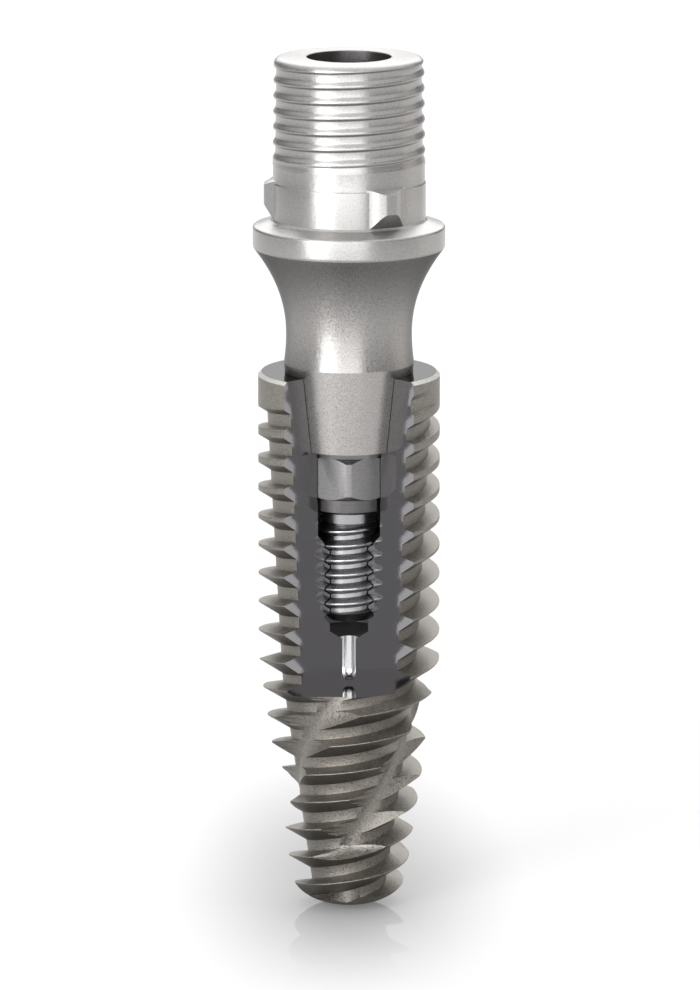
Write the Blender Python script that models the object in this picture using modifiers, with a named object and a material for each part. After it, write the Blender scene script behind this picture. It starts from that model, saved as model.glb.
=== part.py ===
"""Screw-type dental implant with its titanium base and abutment screw.

Three turned and milled pieces share one upright axis. A quarter window is cut out of the
implant, so that the seat, the hexagon and the screw thread inside it can be seen.

Units are metres, +Z is up, and the origin is the middle of the implant's platform.
The window faces -Y. Azimuths are measured about Z from -Y, anticlockwise from above.
"""

import math

import bmesh
import bpy
from mathutils import Vector

# Facets of the turned surfaces, counted so that no facet edge lies in a face of the window
IMPLANT_STEPS = 28
BASE_STEPS = 28
SCREW_STEPS = 20

# Implant, outside
IMPLANT_LENGTH = 0.01293
IMPLANT_RADIUS = 0.00215
PLATFORM_BEVEL = 0.00008
TIP_RADIUS = 0.00062
TIP_ROUNDING = 0.00062
TAPER_START_DEPTH = 0.0069
CREST_END_DEPTH = 0.0122
CREST_END_RADIUS = 0.00137

# Implant, outer thread: a buttress thread that runs out into the collar
THREAD_PITCH = 0.00069
THREAD_COUNT = 2
FIRST_CREST_DEPTH = 0.001065
GROOVE_FLOOR = 0.00029
UPPER_FLANK = math.radians(9.0)
LOWER_FLANK = math.radians(34.0)
THINNEST_CREST = 0.00003
CORE_TOP_DEPTH = 0.0010
CORE_TOP_RADIUS = 0.00193
CORE_KNEE_DEPTH = 0.0074
CORE_KNEE_RADIUS = 0.001585
CORE_END_DEPTH = 0.0121
CORE_END_RADIUS = 0.00092
RUN_OUT_DEPTHS = (0.00030, 0.00075)
RUN_OUT_LENGTH = 0.0006

# Implant, cutting flutes
FLUTE_COUNT = 3
FLUTE_LEAD = 0.0120
FLUTE_AZIMUTH = math.radians(57.0)
FLUTE_AZIMUTH_DEPTH = 0.0092
FLUTE_TOP_DEPTH = 0.0062
FLUTE_FULL_DEPTH = 0.00685
FLUTE_SCOOP_DEPTH = 0.0113
FLUTE_END_DEPTH = 0.0119
FLUTE_BITE = 0.00004
FLUTE_EXIT = 0.00012
FLUTE_HALF_WIDTH = 0.00140
FLUTE_WALL_RISE = 0.28
FLUTE_RAMP_CURVE = 175.0
FLUTE_ROWS = 16

# Window cut out of the implant
WINDOW_DEPTH = 0.00757
WINDOW_HALF_ANGLE = math.radians(45.0)

# Seat shared by implant and base: a cone with a hexagon under it
SEAT_RADIUS = 0.00151
SEAT_ANGLE = math.radians(8.0)
SEAT_DEPTH = 0.00180
SEAT_CLEARANCE = 0.000012
HEX_ACROSS_FLATS = 0.00200
HEX_CLEARANCE = 0.00002
HEX_TOP_DEPTH = 0.00193
HEX_END_DEPTH = 0.00295
HEX_CORNER_CUT = 0.00004
HEX_CHAMFER = 0.00012
HEX_FLOOR_GAP = 0.00008

# Implant, bore under the seat
FREE_BORE_RADIUS = 0.00104
FREE_BORE_END_DEPTH = 0.00408
INNER_THREAD_END_DEPTH = 0.00605
TAP_DRILL_END_DEPTH = 0.00621
DRILL_POINT = math.radians(59.0)
PILOT_HOLE_RADIUS = 0.000225
PILOT_HOLE_END_DEPTH = 0.00749

# Base: chimney with its spiral groove
CHIMNEY_TOP = 0.00750
CHIMNEY_TOP_RADIUS = 0.00177
CHIMNEY_FOOT_RADIUS = 0.00180
CHIMNEY_FOOT = 0.00495
CHIMNEY_EDGE = 0.00017
SPIGOT_RIM = 0.00010
SPIRAL_PITCH = 0.000367
SPIRAL_CREST_HEIGHT = 0.007395
SPIRAL_GROOVE = 0.00006
SPIRAL_TOP = 0.00762
SPIRAL_END = 0.00502
SPIRAL_FADE = 0.00024
SPIRAL_UPPER_FOOT = 0.00013
SPIRAL_UPPER_CREST = 0.00003
SPIRAL_LOWER_CREST = -0.00003
SPIRAL_LOWER_FOOT = -0.00006

# Base: index band with its lugs
PLAIN_BAND_TOP = 0.00497
PLAIN_BAND_RADIUS = 0.00179
INDEX_BAND_TOP = 0.004555
INDEX_BAND_RADIUS = 0.00181
INDEX_BAND_FOOT = 0.00368
LUG_COUNT = 3
LUG_AZIMUTH = math.radians(30.0)
LUG_RADIUS = 0.00201
LUG_TOP = 0.00449
LUG_TOP_SLOPE = 0.55
LUG_FACE_FOOT = 0.00402
LUG_HALF_ANGLE = math.radians(2.5)
LUG_FLANK_ANGLE = math.radians(13.0)
LUG_FLANK_STEPS = 6

# Base: flange and cuff
FLANGE_RADIUS = 0.00227
FLANGE_TOP = 0.00346
FLANGE_RIM_TOP = 0.00350
FLANGE_RIM_WIDTH = 0.00003
FLANGE_FOOT = 0.00298
FLANGE_EDGE = 0.00005
CUFF_WAIST_HEIGHT = 0.00090
CUFF_WAIST_RADIUS = 0.001487
CUFF_FLARE = 2.1
CUFF_LIP_HEIGHT = 0.00022
CUFF_LIP_RADIUS = 0.00154

# Base: end below the hexagon, and the screw channel
BASE_PILOT_RADIUS = 0.00098
BASE_NECK_RADIUS = 0.00106
BASE_END_DEPTH = 0.00330
BASE_END_CHAMFER = 0.00006
CHANNEL_RADIUS = 0.00100
SCREW_SEAT_DEPTH = 0.00030
SCREW_HOLE_RADIUS = 0.00085

# Abutment screw
SCREW_HEAD_RADIUS = 0.00095
SCREW_HEAD_HEIGHT = 0.00170
SCREW_HEAD_BEVEL = 0.00008
SCREW_SEAT_GAP = 0.00001
DRIVER_ACROSS_FLATS = 0.00125
DRIVER_DEPTH = 0.00110
SHANK_RADIUS = 0.00068
SCREW_THREAD_RADIUS = 0.00080
SCREW_ROOT_RADIUS = 0.00062
SCREW_PITCH = 0.00035
SCREW_CREST_FLAT = 0.000044
SCREW_FLANK = math.radians(30.0)
SCREW_THREAD_TOP_DEPTH = 0.00358
SCREW_END_DEPTH = 0.00598
SCREW_END_CHAMFER = 0.00016
SCREW_THREAD_CLEARANCE = 0.000025

# Tools reach past the surface that they cut, and their facet edges miss those of the threads
OVERSHOOT = 0.0005
TOOL_TWIST = 0.25
LIMIT_TWIST = 0.75
MERGE = 1e-8


def start_collections():
    """Empties the file and returns the collections of the pieces and of the cutters."""
    for old in list(bpy.data.objects):
        bpy.data.objects.remove(old, do_unlink=True)
    pieces = bpy.data.collections.new("dental_implant")
    cutters = bpy.data.collections.new("cutters")
    for collection in (pieces, cutters):
        bpy.context.scene.collection.children.link(collection)
    return pieces, cutters


def metal(name, colour, roughness):
    """Returns a bare metal of one colour and roughness."""
    material = bpy.data.materials.new(name)
    material.use_nodes = True
    shader = material.node_tree.nodes["Principled BSDF"]
    shader.inputs["Base Color"].default_value = (*colour, 1.0)
    shader.inputs["Roughness"].default_value = roughness
    shader.inputs["Metallic"].default_value = 1.0
    return material


def new_object(name, collection, mesh):
    """Links an object that carries the mesh."""
    thing = bpy.data.objects.new(name, mesh)
    collection.objects.link(thing)
    return thing


def as_cutter(thing):
    """Keeps an object as a cutting tool, out of the model itself."""
    thing.hide_render = True
    thing.display_type = 'WIRE'
    return thing


def boolean(target, operation, tool):
    """Adds one exact Boolean to the target."""
    modifier = target.modifiers.new(f"{operation.lower()}_{tool.name}", 'BOOLEAN')
    modifier.operation = operation
    modifier.solver = 'EXACT'
    modifier.object = as_cutter(tool)


def around(azimuth, radius, height):
    """Point at an azimuth from -Y, a radius and a height."""
    return Vector((radius * math.sin(azimuth), -radius * math.cos(azimuth), height))


def blend(value, low, high):
    """Goes smoothly from 0 at low to 1 at high."""
    share = min(max((value - low) / (high - low), 0.0), 1.0)
    return share * share * (3.0 - 2.0 * share)


def along(value, *stations):
    """Reads a value off the lines between (place, value) stations; the end lines run on."""
    pairs = list(zip(stations, stations[1:]))
    reached = [pair for pair in pairs if value <= pair[1][0]] or pairs[-1:]
    (place_a, value_a), (place_b, value_b) = reached[0]
    return value_a + (value_b - value_a) * (value - place_a) / (place_b - place_a)


def turned(name, collection, profile, steps, twist=0.0):
    """Turns a profile, given as (radius, height) from the top down, about Z.

    The facet edges start at a share of a step, twist, past azimuth 90 degrees.
    """
    mesh = bpy.data.meshes.new(name)
    start = around(math.pi / 2.0 + 2.0 * math.pi * twist / steps, 1.0, 0.0)
    points = [start * radius + Vector((0.0, 0.0, height)) for radius, height in profile]
    mesh.from_pydata(points, [(i, i + 1) for i in range(len(points) - 1)], [])
    thing = new_object(name, collection, mesh)
    screw = thing.modifiers.new("turn", 'SCREW')
    screw.steps = steps
    screw.render_steps = steps
    screw.use_merge_vertices = True
    screw.merge_threshold = MERGE
    screw.use_smooth_shade = True
    return thing


def prism(name, collection, outline, low, high):
    """Extrudes a closed outline of (x, y) points, anticlockwise from above, from low to high."""
    shape = bmesh.new()
    floor = [shape.verts.new((x, y, low)) for x, y in outline]
    lid = [shape.verts.new((x, y, high)) for x, y in outline]
    count = len(outline)
    shape.faces.new(list(reversed(floor)))
    shape.faces.new(lid)
    for i in range(count):
        j = (i + 1) % count
        shape.faces.new((floor[i], floor[j], lid[j], lid[i]))
    mesh = bpy.data.meshes.new(name)
    shape.to_mesh(mesh)
    shape.free()
    return new_object(name, collection, mesh)


def hexagon(across_flats):
    """Corners of a hexagon with one corner at azimuth 0."""
    corner = across_flats / 2.0 / math.cos(math.radians(30.0))
    points = [around(math.radians(60.0) * i, corner, 0.0) for i in range(6)]
    return [(point.x, point.y) for point in points]


def threaded(name, collection, steps, pitch, starts, phase, top, bottom, ridge):
    """Closed round body whose whole side is a right-hand thread.

    ridge(height, start) gives the four corners of the ridge whose middle is at that height,
    as (rise above the middle, radius) from the top down. The middle of ridge number 0 is at
    the height phase at azimuth 0. Both ends are pulled to a point on the axis, so they are
    cut off by what the body is combined with.
    """
    lead = pitch * starts
    first = math.floor((phase - top) / pitch) - starts
    last = math.ceil((phase - bottom) / pitch) + starts
    shape = bmesh.new()
    columns = []
    for column in range(steps + 1):
        azimuth = 2.0 * math.pi * column / steps
        climb = lead * column / steps
        points = []
        for number in range(first, last + 1):
            middle = phase - pitch * number + climb
            for rise, radius in ridge(middle, number % starts):
                points.append(around(azimuth, radius, middle + rise))
        columns.append(points)
    rows = len(columns[0])
    shift = 4 * starts
    grid = [[shape.verts.new(point) for point in points] for points in columns[:-1]]
    closing = [shape.verts.new(point) for point in columns[-1][:shift]]
    grid.append(closing + grid[0][:rows - shift])
    for left, right in zip(grid, grid[1:]):
        for row in range(rows - 1):
            shape.faces.new((left[row], left[row + 1], right[row + 1]))
            shape.faces.new((left[row], right[row + 1], right[row]))
    upper_rim = [column[0] for column in grid] + closing[1:] + [grid[0][0]]
    lower_rim = [column[-1] for column in grid] + grid[0][rows - shift:]
    for rim, faces_up in ((upper_rim, True), (lower_rim, False)):
        middle = sum(vertex.co.z for vertex in rim) / len(rim)
        hub = shape.verts.new((0.0, 0.0, middle))
        for a, b in zip(rim, rim[1:]):
            shape.faces.new((hub, a, b) if faces_up else (hub, b, a))
    mesh = bpy.data.meshes.new(name)
    shape.to_mesh(mesh)
    shape.free()
    return new_object(name, collection, mesh)


def lofted(name, collection, sections):
    """Closed body through sections of equal point count, anticlockwise from above, upwards."""
    shape = bmesh.new()
    rings = [[shape.verts.new(point) for point in section] for section in sections]
    count = len(rings[0])
    for lower, upper in zip(rings, rings[1:]):
        for i in range(count):
            j = (i + 1) % count
            shape.faces.new((lower[i], lower[j], upper[j]))
            shape.faces.new((lower[i], upper[j], upper[i]))
    shape.faces.new(list(reversed(rings[0])))
    shape.faces.new(rings[-1])
    bmesh.ops.triangulate(shape, faces=[f for f in shape.faces if len(f.verts) > 4])
    mesh = bpy.data.meshes.new(name)
    shape.to_mesh(mesh)
    shape.free()
    return new_object(name, collection, mesh)


def shade(thing, material):
    """Gives a piece its material and smooth round surfaces with sharp edges."""
    thing.data.materials.append(material)
    thing.data.shade_smooth()
    thing.data.set_sharp_from_angle(angle=math.radians(28.0))


def crest_radius(height):
    """Outer radius of the implant's thread at a height."""
    return min(IMPLANT_RADIUS, along(-height, (TAPER_START_DEPTH, IMPLANT_RADIUS),
                                     (CREST_END_DEPTH, CREST_END_RADIUS)))


def core_radius(height):
    """Radius of the implant's core, at the floor of the thread groove."""
    return along(-height, (CORE_TOP_DEPTH, CORE_TOP_RADIUS), (CORE_KNEE_DEPTH, CORE_KNEE_RADIUS),
                 (CORE_END_DEPTH, CORE_END_RADIUS))


def implant_ridge(height, start):
    """Corners of the outer thread's ridge, which grows out of the collar over the run-out."""
    begin = -RUN_OUT_DEPTHS[start % len(RUN_OUT_DEPTHS)]
    grown = blend(begin - height, 0.0, RUN_OUT_LENGTH)
    crest = crest_radius(height)
    depth = crest - core_radius(height)
    upper_run = depth * math.tan(UPPER_FLANK)
    lower_run = depth * math.tan(LOWER_FLANK)
    crest_flat = max(THREAD_PITCH - GROOVE_FLOOR - upper_run - lower_run, THINNEST_CREST)
    foot_above = crest_flat / 2.0 + upper_run
    foot_below = -crest_flat / 2.0 - lower_run

    def groove(rise):
        level = height + rise
        return crest_radius(level) + grown * (core_radius(level) - crest_radius(level))

    return ((foot_above, groove(foot_above)), (crest_flat / 2.0, crest),
            (-crest_flat / 2.0, crest), (foot_below, groove(foot_below)))


def implant_envelope(collection):
    """Turned limits of the implant: flat platform with its bevel, and the domed tip."""
    outside = IMPLANT_RADIUS + OVERSHOOT
    profile = [(0.0, 0.0), (IMPLANT_RADIUS - PLATFORM_BEVEL, 0.0), (outside, -PLATFORM_BEVEL - OVERSHOOT)]
    shoulder_depth = IMPLANT_LENGTH - TIP_ROUNDING
    shoulder = CREST_END_RADIUS
    profile.append((outside, -TAPER_START_DEPTH))
    for i in range(9):
        turn = math.pi / 2.0 * i / 8
        radius = TIP_RADIUS + (shoulder - TIP_RADIUS) * math.cos(turn)
        profile.append((radius, -shoulder_depth - TIP_ROUNDING * math.sin(turn)))
    profile.append((0.0, -IMPLANT_LENGTH))
    return turned("implant_limits", collection, profile, IMPLANT_STEPS, TOOL_TWIST)


def seat_tool(collection):
    """Turned tool for the conical seat and the round middle of the hexagon socket."""
    slope = math.tan(SEAT_ANGLE)
    seat = SEAT_RADIUS + SEAT_CLEARANCE
    socket = HEX_ACROSS_FLATS / 2.0 - HEX_CLEARANCE
    profile = [(0.0, OVERSHOOT), (seat + OVERSHOOT * slope, OVERSHOOT),
               (seat - SEAT_DEPTH * slope, -SEAT_DEPTH), (socket, -SEAT_DEPTH),
               (socket, -HEX_END_DEPTH), (0.0, -HEX_END_DEPTH)]
    return turned("seat_tool", collection, profile, BASE_STEPS)


def drill_tool(collection):
    """Turned tool for the free bore, the tap drill and the pilot hole under the seat."""
    bore = SCREW_ROOT_RADIUS + SCREW_THREAD_CLEARANCE
    start = -HEX_END_DEPTH - HEX_FLOOR_GAP / 2.0
    chamfer = FREE_BORE_RADIUS - SCREW_THREAD_RADIUS
    point_depth = TAP_DRILL_END_DEPTH + (bore - PILOT_HOLE_RADIUS) / math.tan(DRILL_POINT)
    profile = [(0.0, start), (FREE_BORE_RADIUS, start), (FREE_BORE_RADIUS, -FREE_BORE_END_DEPTH + chamfer),
               (SCREW_THREAD_RADIUS, -FREE_BORE_END_DEPTH), (bore, -FREE_BORE_END_DEPTH),
               (bore, -TAP_DRILL_END_DEPTH), (PILOT_HOLE_RADIUS, -point_depth)]
    for i in range(5):
        turn = math.pi / 2.0 * i / 4
        profile.append((PILOT_HOLE_RADIUS * math.cos(turn),
                        -PILOT_HOLE_END_DEPTH + PILOT_HOLE_RADIUS * (1.0 - math.sin(turn))))
    return turned("drill_tool", collection, profile, SCREW_STEPS, TOOL_TWIST)


def screw_ridge(offset):
    """Ridge of the M1.6 thread, grown outwards by an offset for the tapped hole."""
    crest = SCREW_THREAD_RADIUS + offset
    root = SCREW_ROOT_RADIUS - offset
    flank_shift = offset * (1.0 - math.sin(SCREW_FLANK)) / math.cos(SCREW_FLANK)
    half_crest = SCREW_CREST_FLAT / 2.0 + flank_shift
    half_foot = half_crest + (crest - root) * math.tan(SCREW_FLANK)

    def ridge(height, start):
        return ((half_foot, root), (half_crest, crest), (-half_crest, crest), (-half_foot, root))

    return ridge


def tap_tool(collection):
    """Cutter of the tapped hole: the screw's thread with its clearance, cut to length."""
    tool = threaded("tap_tool", collection, SCREW_STEPS, SCREW_PITCH, 1, -FREE_BORE_END_DEPTH,
                    -FREE_BORE_END_DEPTH + 2 * SCREW_PITCH, -INNER_THREAD_END_DEPTH - SCREW_PITCH,
                    screw_ridge(SCREW_THREAD_CLEARANCE))
    reach = SCREW_THREAD_RADIUS + SCREW_THREAD_CLEARANCE
    run_out = reach - SCREW_ROOT_RADIUS
    limits = turned("tap_limits", collection,
                    [(0.0, -FREE_BORE_END_DEPTH + SCREW_PITCH),
                     (reach + OVERSHOOT, -FREE_BORE_END_DEPTH + SCREW_PITCH),
                     (reach + OVERSHOOT, -INNER_THREAD_END_DEPTH + run_out + OVERSHOOT),
                     (reach - run_out, -INNER_THREAD_END_DEPTH),
                     (0.0, -INNER_THREAD_END_DEPTH)], SCREW_STEPS, LIMIT_TWIST)
    boolean(tool, 'INTERSECT', limits)
    return tool


def flute_floor(depth):
    """Radius of a flute's crease at a depth: it sinks in at the top and scoops out at the end."""
    floor = core_radius(-depth) - FLUTE_BITE
    outside = crest_radius(-depth) + FLUTE_EXIT
    sunk = blend(depth, FLUTE_TOP_DEPTH, FLUTE_FULL_DEPTH)
    sunk *= 1.0 - blend(depth, FLUTE_SCOOP_DEPTH, FLUTE_END_DEPTH)
    return outside + (floor - outside) * sunk


def flute_tool(collection, number):
    """Cutter of one helical flute: a plain wall on one side of the crease, a ramp on the other."""
    sections = []
    for row in range(FLUTE_ROWS + 1):
        depth = FLUTE_END_DEPTH + (FLUTE_TOP_DEPTH - FLUTE_END_DEPTH) * row / FLUTE_ROWS
        swing = 2.0 * math.pi * (FLUTE_AZIMUTH_DEPTH - depth) / FLUTE_LEAD
        azimuth = FLUTE_AZIMUTH + swing + 2.0 * math.pi * number / FLUTE_COUNT
        floor = flute_floor(depth)
        outline = [(-FLUTE_HALF_WIDTH, FLUTE_WALL_RISE * FLUTE_HALF_WIDTH)]
        outline += [(-FLUTE_HALF_WIDTH, IMPLANT_RADIUS), (FLUTE_HALF_WIDTH, IMPLANT_RADIUS)]
        for i in range(4, -1, -1):
            across = FLUTE_HALF_WIDTH * i / 4
            outline.append((across, FLUTE_RAMP_CURVE * across * across))
        radial = around(azimuth, 1.0, 0.0)
        tangent = around(azimuth + math.pi / 2.0, 1.0, 0.0)
        sections.append([radial * (floor + rise) + tangent * across + Vector((0.0, 0.0, -depth))
                         for across, rise in outline])
    return lofted(f"flute_{number + 1}", collection, sections)


def window_tool(collection):
    """Wedge that opens the implant down to the window's floor."""
    reach = 3.0 * IMPLANT_RADIUS
    left = around(-WINDOW_HALF_ANGLE, reach, 0.0)
    front_left = (left.x, -reach)
    right = around(WINDOW_HALF_ANGLE, reach, 0.0)
    front_right = (right.x, -reach)
    outline = [(0.0, 0.0), (left.x, left.y), front_left, front_right, (right.x, right.y)]
    return prism("window_tool", collection, outline, -WINDOW_DEPTH, OVERSHOOT)


def build_implant(pieces, cutters):
    """The implant: threaded outside, conical seat, hexagon and tapped hole inside."""
    body = threaded("implant_body", pieces, IMPLANT_STEPS, THREAD_PITCH, THREAD_COUNT,
                    -FIRST_CREST_DEPTH, OVERSHOOT, -IMPLANT_LENGTH - OVERSHOOT, implant_ridge)
    shade(body, metal("blasted_titanium", (0.27, 0.253, 0.230), 0.60))
    boolean(body, 'INTERSECT', implant_envelope(cutters))
    boolean(body, 'DIFFERENCE', seat_tool(cutters))
    boolean(body, 'DIFFERENCE', drill_tool(cutters))
    socket = hexagon(HEX_ACROSS_FLATS + 2.0 * HEX_CLEARANCE)
    socket_floor = -HEX_END_DEPTH - HEX_FLOOR_GAP
    boolean(body, 'DIFFERENCE', prism("hex_socket_tool", cutters, socket, socket_floor, -SEAT_DEPTH / 2.0))
    boolean(body, 'DIFFERENCE', tap_tool(cutters))
    for number in range(FLUTE_COUNT):
        boolean(body, 'DIFFERENCE', flute_tool(cutters, number))
    boolean(body, 'DIFFERENCE', window_tool(cutters))
    return body


def chimney_radius(height):
    """Outer radius of the chimney, which widens a little towards its foot."""
    return along(-height, (-CHIMNEY_TOP, CHIMNEY_TOP_RADIUS), (-CHIMNEY_FOOT, CHIMNEY_FOOT_RADIUS))


def spiral_ridge(height, start):
    """Corners of the chimney's retention ridge, flattened towards both ends of the spiral."""
    grown = blend(height, SPIRAL_END, SPIRAL_END + SPIRAL_FADE)
    grown *= blend(-height, -SPIRAL_TOP, -SPIRAL_TOP + SPIRAL_FADE)
    crest = chimney_radius(height)
    groove = crest - SPIRAL_GROOVE * grown
    return ((SPIRAL_UPPER_FOOT, groove), (SPIRAL_UPPER_CREST, crest),
            (SPIRAL_LOWER_CREST, crest), (SPIRAL_LOWER_FOOT, groove))


def build_chimney(cutters):
    """The chimney alone: its spiral, its rounded top edge and a spigot into the band below."""
    chimney = threaded("chimney", cutters, BASE_STEPS, SPIRAL_PITCH, 1, SPIRAL_CREST_HEIGHT,
                       CHIMNEY_TOP + OVERSHOOT, CHIMNEY_FOOT - OVERSHOOT, spiral_ridge)
    outside = CHIMNEY_FOOT_RADIUS + OVERSHOOT / 2.0
    profile = [(0.0, CHIMNEY_TOP)]
    for i in range(4):
        turn = math.pi / 2.0 * i / 3
        profile.append((CHIMNEY_TOP_RADIUS - CHIMNEY_EDGE * (1.0 - math.sin(turn)),
                        CHIMNEY_TOP - CHIMNEY_EDGE * (1.0 - math.cos(turn))))
    spigot = PLAIN_BAND_RADIUS - SPIGOT_RIM
    spigot_foot = CHIMNEY_FOOT - SPIGOT_RIM
    profile += [(outside, CHIMNEY_TOP - 2.0 * CHIMNEY_EDGE), (outside, CHIMNEY_FOOT),
                (spigot, CHIMNEY_FOOT), (spigot, spigot_foot), (0.0, spigot_foot)]
    boolean(chimney, 'INTERSECT', turned("chimney_limits", cutters, profile, BASE_STEPS, TOOL_TWIST))
    return chimney


def build_lugs(cutters):
    """The index lugs on one disc, which lies inside the band between them."""
    inside = INDEX_BAND_RADIUS - SPIGOT_RIM
    foot = LUG_HALF_ANGLE + LUG_FLANK_ANGLE
    outline = []
    for lug in range(LUG_COUNT):
        middle = LUG_AZIMUTH + 2.0 * math.pi * lug / LUG_COUNT
        for side in (-1.0, 1.0):
            flank = [around(middle + side * foot, inside, 0.0)]
            for i in range(LUG_FLANK_STEPS + 1):
                share = i / LUG_FLANK_STEPS
                radius = INDEX_BAND_RADIUS + (LUG_RADIUS - INDEX_BAND_RADIUS) * blend(share, 0.0, 1.0)
                flank.append(around(middle + side * (foot - LUG_FLANK_ANGLE * share), radius + MERGE, 0.0))
            outline += flank if side < 0.0 else reversed(flank)
        gap = 2.0 * math.pi / LUG_COUNT - 2.0 * foot
        for i in range(1, 5):
            outline.append(around(middle + foot + gap * i / 5, inside, 0.0))
    rim = LUG_RADIUS + SPIGOT_RIM
    inner = inside - SPIGOT_RIM
    crown = LUG_TOP + (LUG_RADIUS - inside) * LUG_TOP_SLOPE
    lugs = prism("lugs", cutters, [(p.x, p.y) for p in outline], INDEX_BAND_FOOT, crown + SPIGOT_RIM)
    steep = (LUG_FACE_FOOT - INDEX_BAND_FOOT) / (LUG_RADIUS - INDEX_BAND_RADIUS)
    low = LUG_FACE_FOOT - (LUG_RADIUS - inner) * steep
    profile = [(0.0, crown), (inside, crown), (rim, LUG_TOP - SPIGOT_RIM * LUG_TOP_SLOPE),
               (rim, LUG_FACE_FOOT + SPIGOT_RIM * steep), (inner, low), (0.0, low)]
    boolean(lugs, 'INTERSECT', turned("lug_limits", cutters, profile, BASE_STEPS, TOOL_TWIST))
    return lugs


def cuff_profile():
    """The cuff from the flange's lower edge down to its sharp lip on the seat."""
    reach = FLANGE_FOOT - FLANGE_EDGE - CUFF_WAIST_HEIGHT
    flare = FLANGE_RADIUS - FLANGE_EDGE - CUFF_WAIST_RADIUS
    points = []
    for i in range(8):
        share = 1.0 - i / 8
        points.append((CUFF_WAIST_RADIUS + flare * share ** CUFF_FLARE, CUFF_WAIST_HEIGHT + reach * share))
    for i in range(4):
        share = i / 3
        points.append((CUFF_WAIST_RADIUS + (CUFF_LIP_RADIUS - CUFF_WAIST_RADIUS) * share * share,
                       CUFF_WAIST_HEIGHT - (CUFF_WAIST_HEIGHT - CUFF_LIP_HEIGHT) * share))
    return points


def build_base(pieces, cutters):
    """The titanium base: chimney, index lugs, flange, cuff, cone, hexagon and screw channel."""
    slope = math.tan(SEAT_ANGLE)
    profile = [(0.0, PLAIN_BAND_TOP), (PLAIN_BAND_RADIUS, PLAIN_BAND_TOP),
               (PLAIN_BAND_RADIUS, INDEX_BAND_TOP),
               (INDEX_BAND_RADIUS, INDEX_BAND_TOP - (INDEX_BAND_RADIUS - PLAIN_BAND_RADIUS)),
               (INDEX_BAND_RADIUS, INDEX_BAND_FOOT)]
    for i in range(4):
        turn = math.pi / 2.0 * i / 3
        profile.append((FLANGE_RADIUS - FLANGE_RIM_WIDTH * (1.0 - math.sin(turn)),
                        FLANGE_TOP + (FLANGE_RIM_TOP - FLANGE_TOP) * math.cos(turn)))
    profile += [(FLANGE_RADIUS, FLANGE_FOOT + FLANGE_EDGE),
                (FLANGE_RADIUS - FLANGE_EDGE / 3.0, FLANGE_FOOT)]
    profile += cuff_profile()
    profile += [(SEAT_RADIUS, 0.0), (SEAT_RADIUS - SEAT_DEPTH * slope, -SEAT_DEPTH),
                (BASE_NECK_RADIUS, -SEAT_DEPTH), (BASE_PILOT_RADIUS, -HEX_TOP_DEPTH - HEX_CHAMFER),
                (BASE_PILOT_RADIUS, -BASE_END_DEPTH + BASE_END_CHAMFER),
                (BASE_PILOT_RADIUS - BASE_END_CHAMFER, -BASE_END_DEPTH), (0.0, -BASE_END_DEPTH)]
    base = turned("ti_base", pieces, profile, BASE_STEPS)
    base.data.materials.append(metal("turned_titanium", (0.40, 0.386, 0.376), 0.33))

    corner = HEX_ACROSS_FLATS / 2.0 / math.cos(math.radians(30.0))
    key = prism("hex_key", cutters, hexagon(HEX_ACROSS_FLATS), -HEX_END_DEPTH, -HEX_TOP_DEPTH)
    barrel = corner - HEX_CORNER_CUT
    boolean(key, 'INTERSECT', turned("hex_limits", cutters, [
        (0.0, -HEX_TOP_DEPTH + OVERSHOOT), (barrel - HEX_CHAMFER, -HEX_TOP_DEPTH + OVERSHOOT),
        (barrel - HEX_CHAMFER, -HEX_TOP_DEPTH), (barrel, -HEX_TOP_DEPTH - HEX_CHAMFER),
        (barrel, -HEX_END_DEPTH + HEX_CHAMFER), (barrel - HEX_CHAMFER, -HEX_END_DEPTH),
        (barrel - HEX_CHAMFER, -HEX_END_DEPTH - OVERSHOOT), (0.0, -HEX_END_DEPTH - OVERSHOOT)], BASE_STEPS,
        TOOL_TWIST))
    for part in (key, build_chimney(cutters), build_lugs(cutters)):
        boolean(base, 'UNION', part)
    boolean(base, 'DIFFERENCE', turned("channel_tool", cutters, [
        (0.0, CHIMNEY_TOP + OVERSHOOT), (CHANNEL_RADIUS, CHIMNEY_TOP + OVERSHOOT),
        (CHANNEL_RADIUS, -SCREW_SEAT_DEPTH), (SCREW_HOLE_RADIUS, -SCREW_SEAT_DEPTH),
        (SCREW_HOLE_RADIUS, -BASE_END_DEPTH - OVERSHOOT), (0.0, -BASE_END_DEPTH - OVERSHOOT)], BASE_STEPS,
        TOOL_TWIST))
    return base


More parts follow.
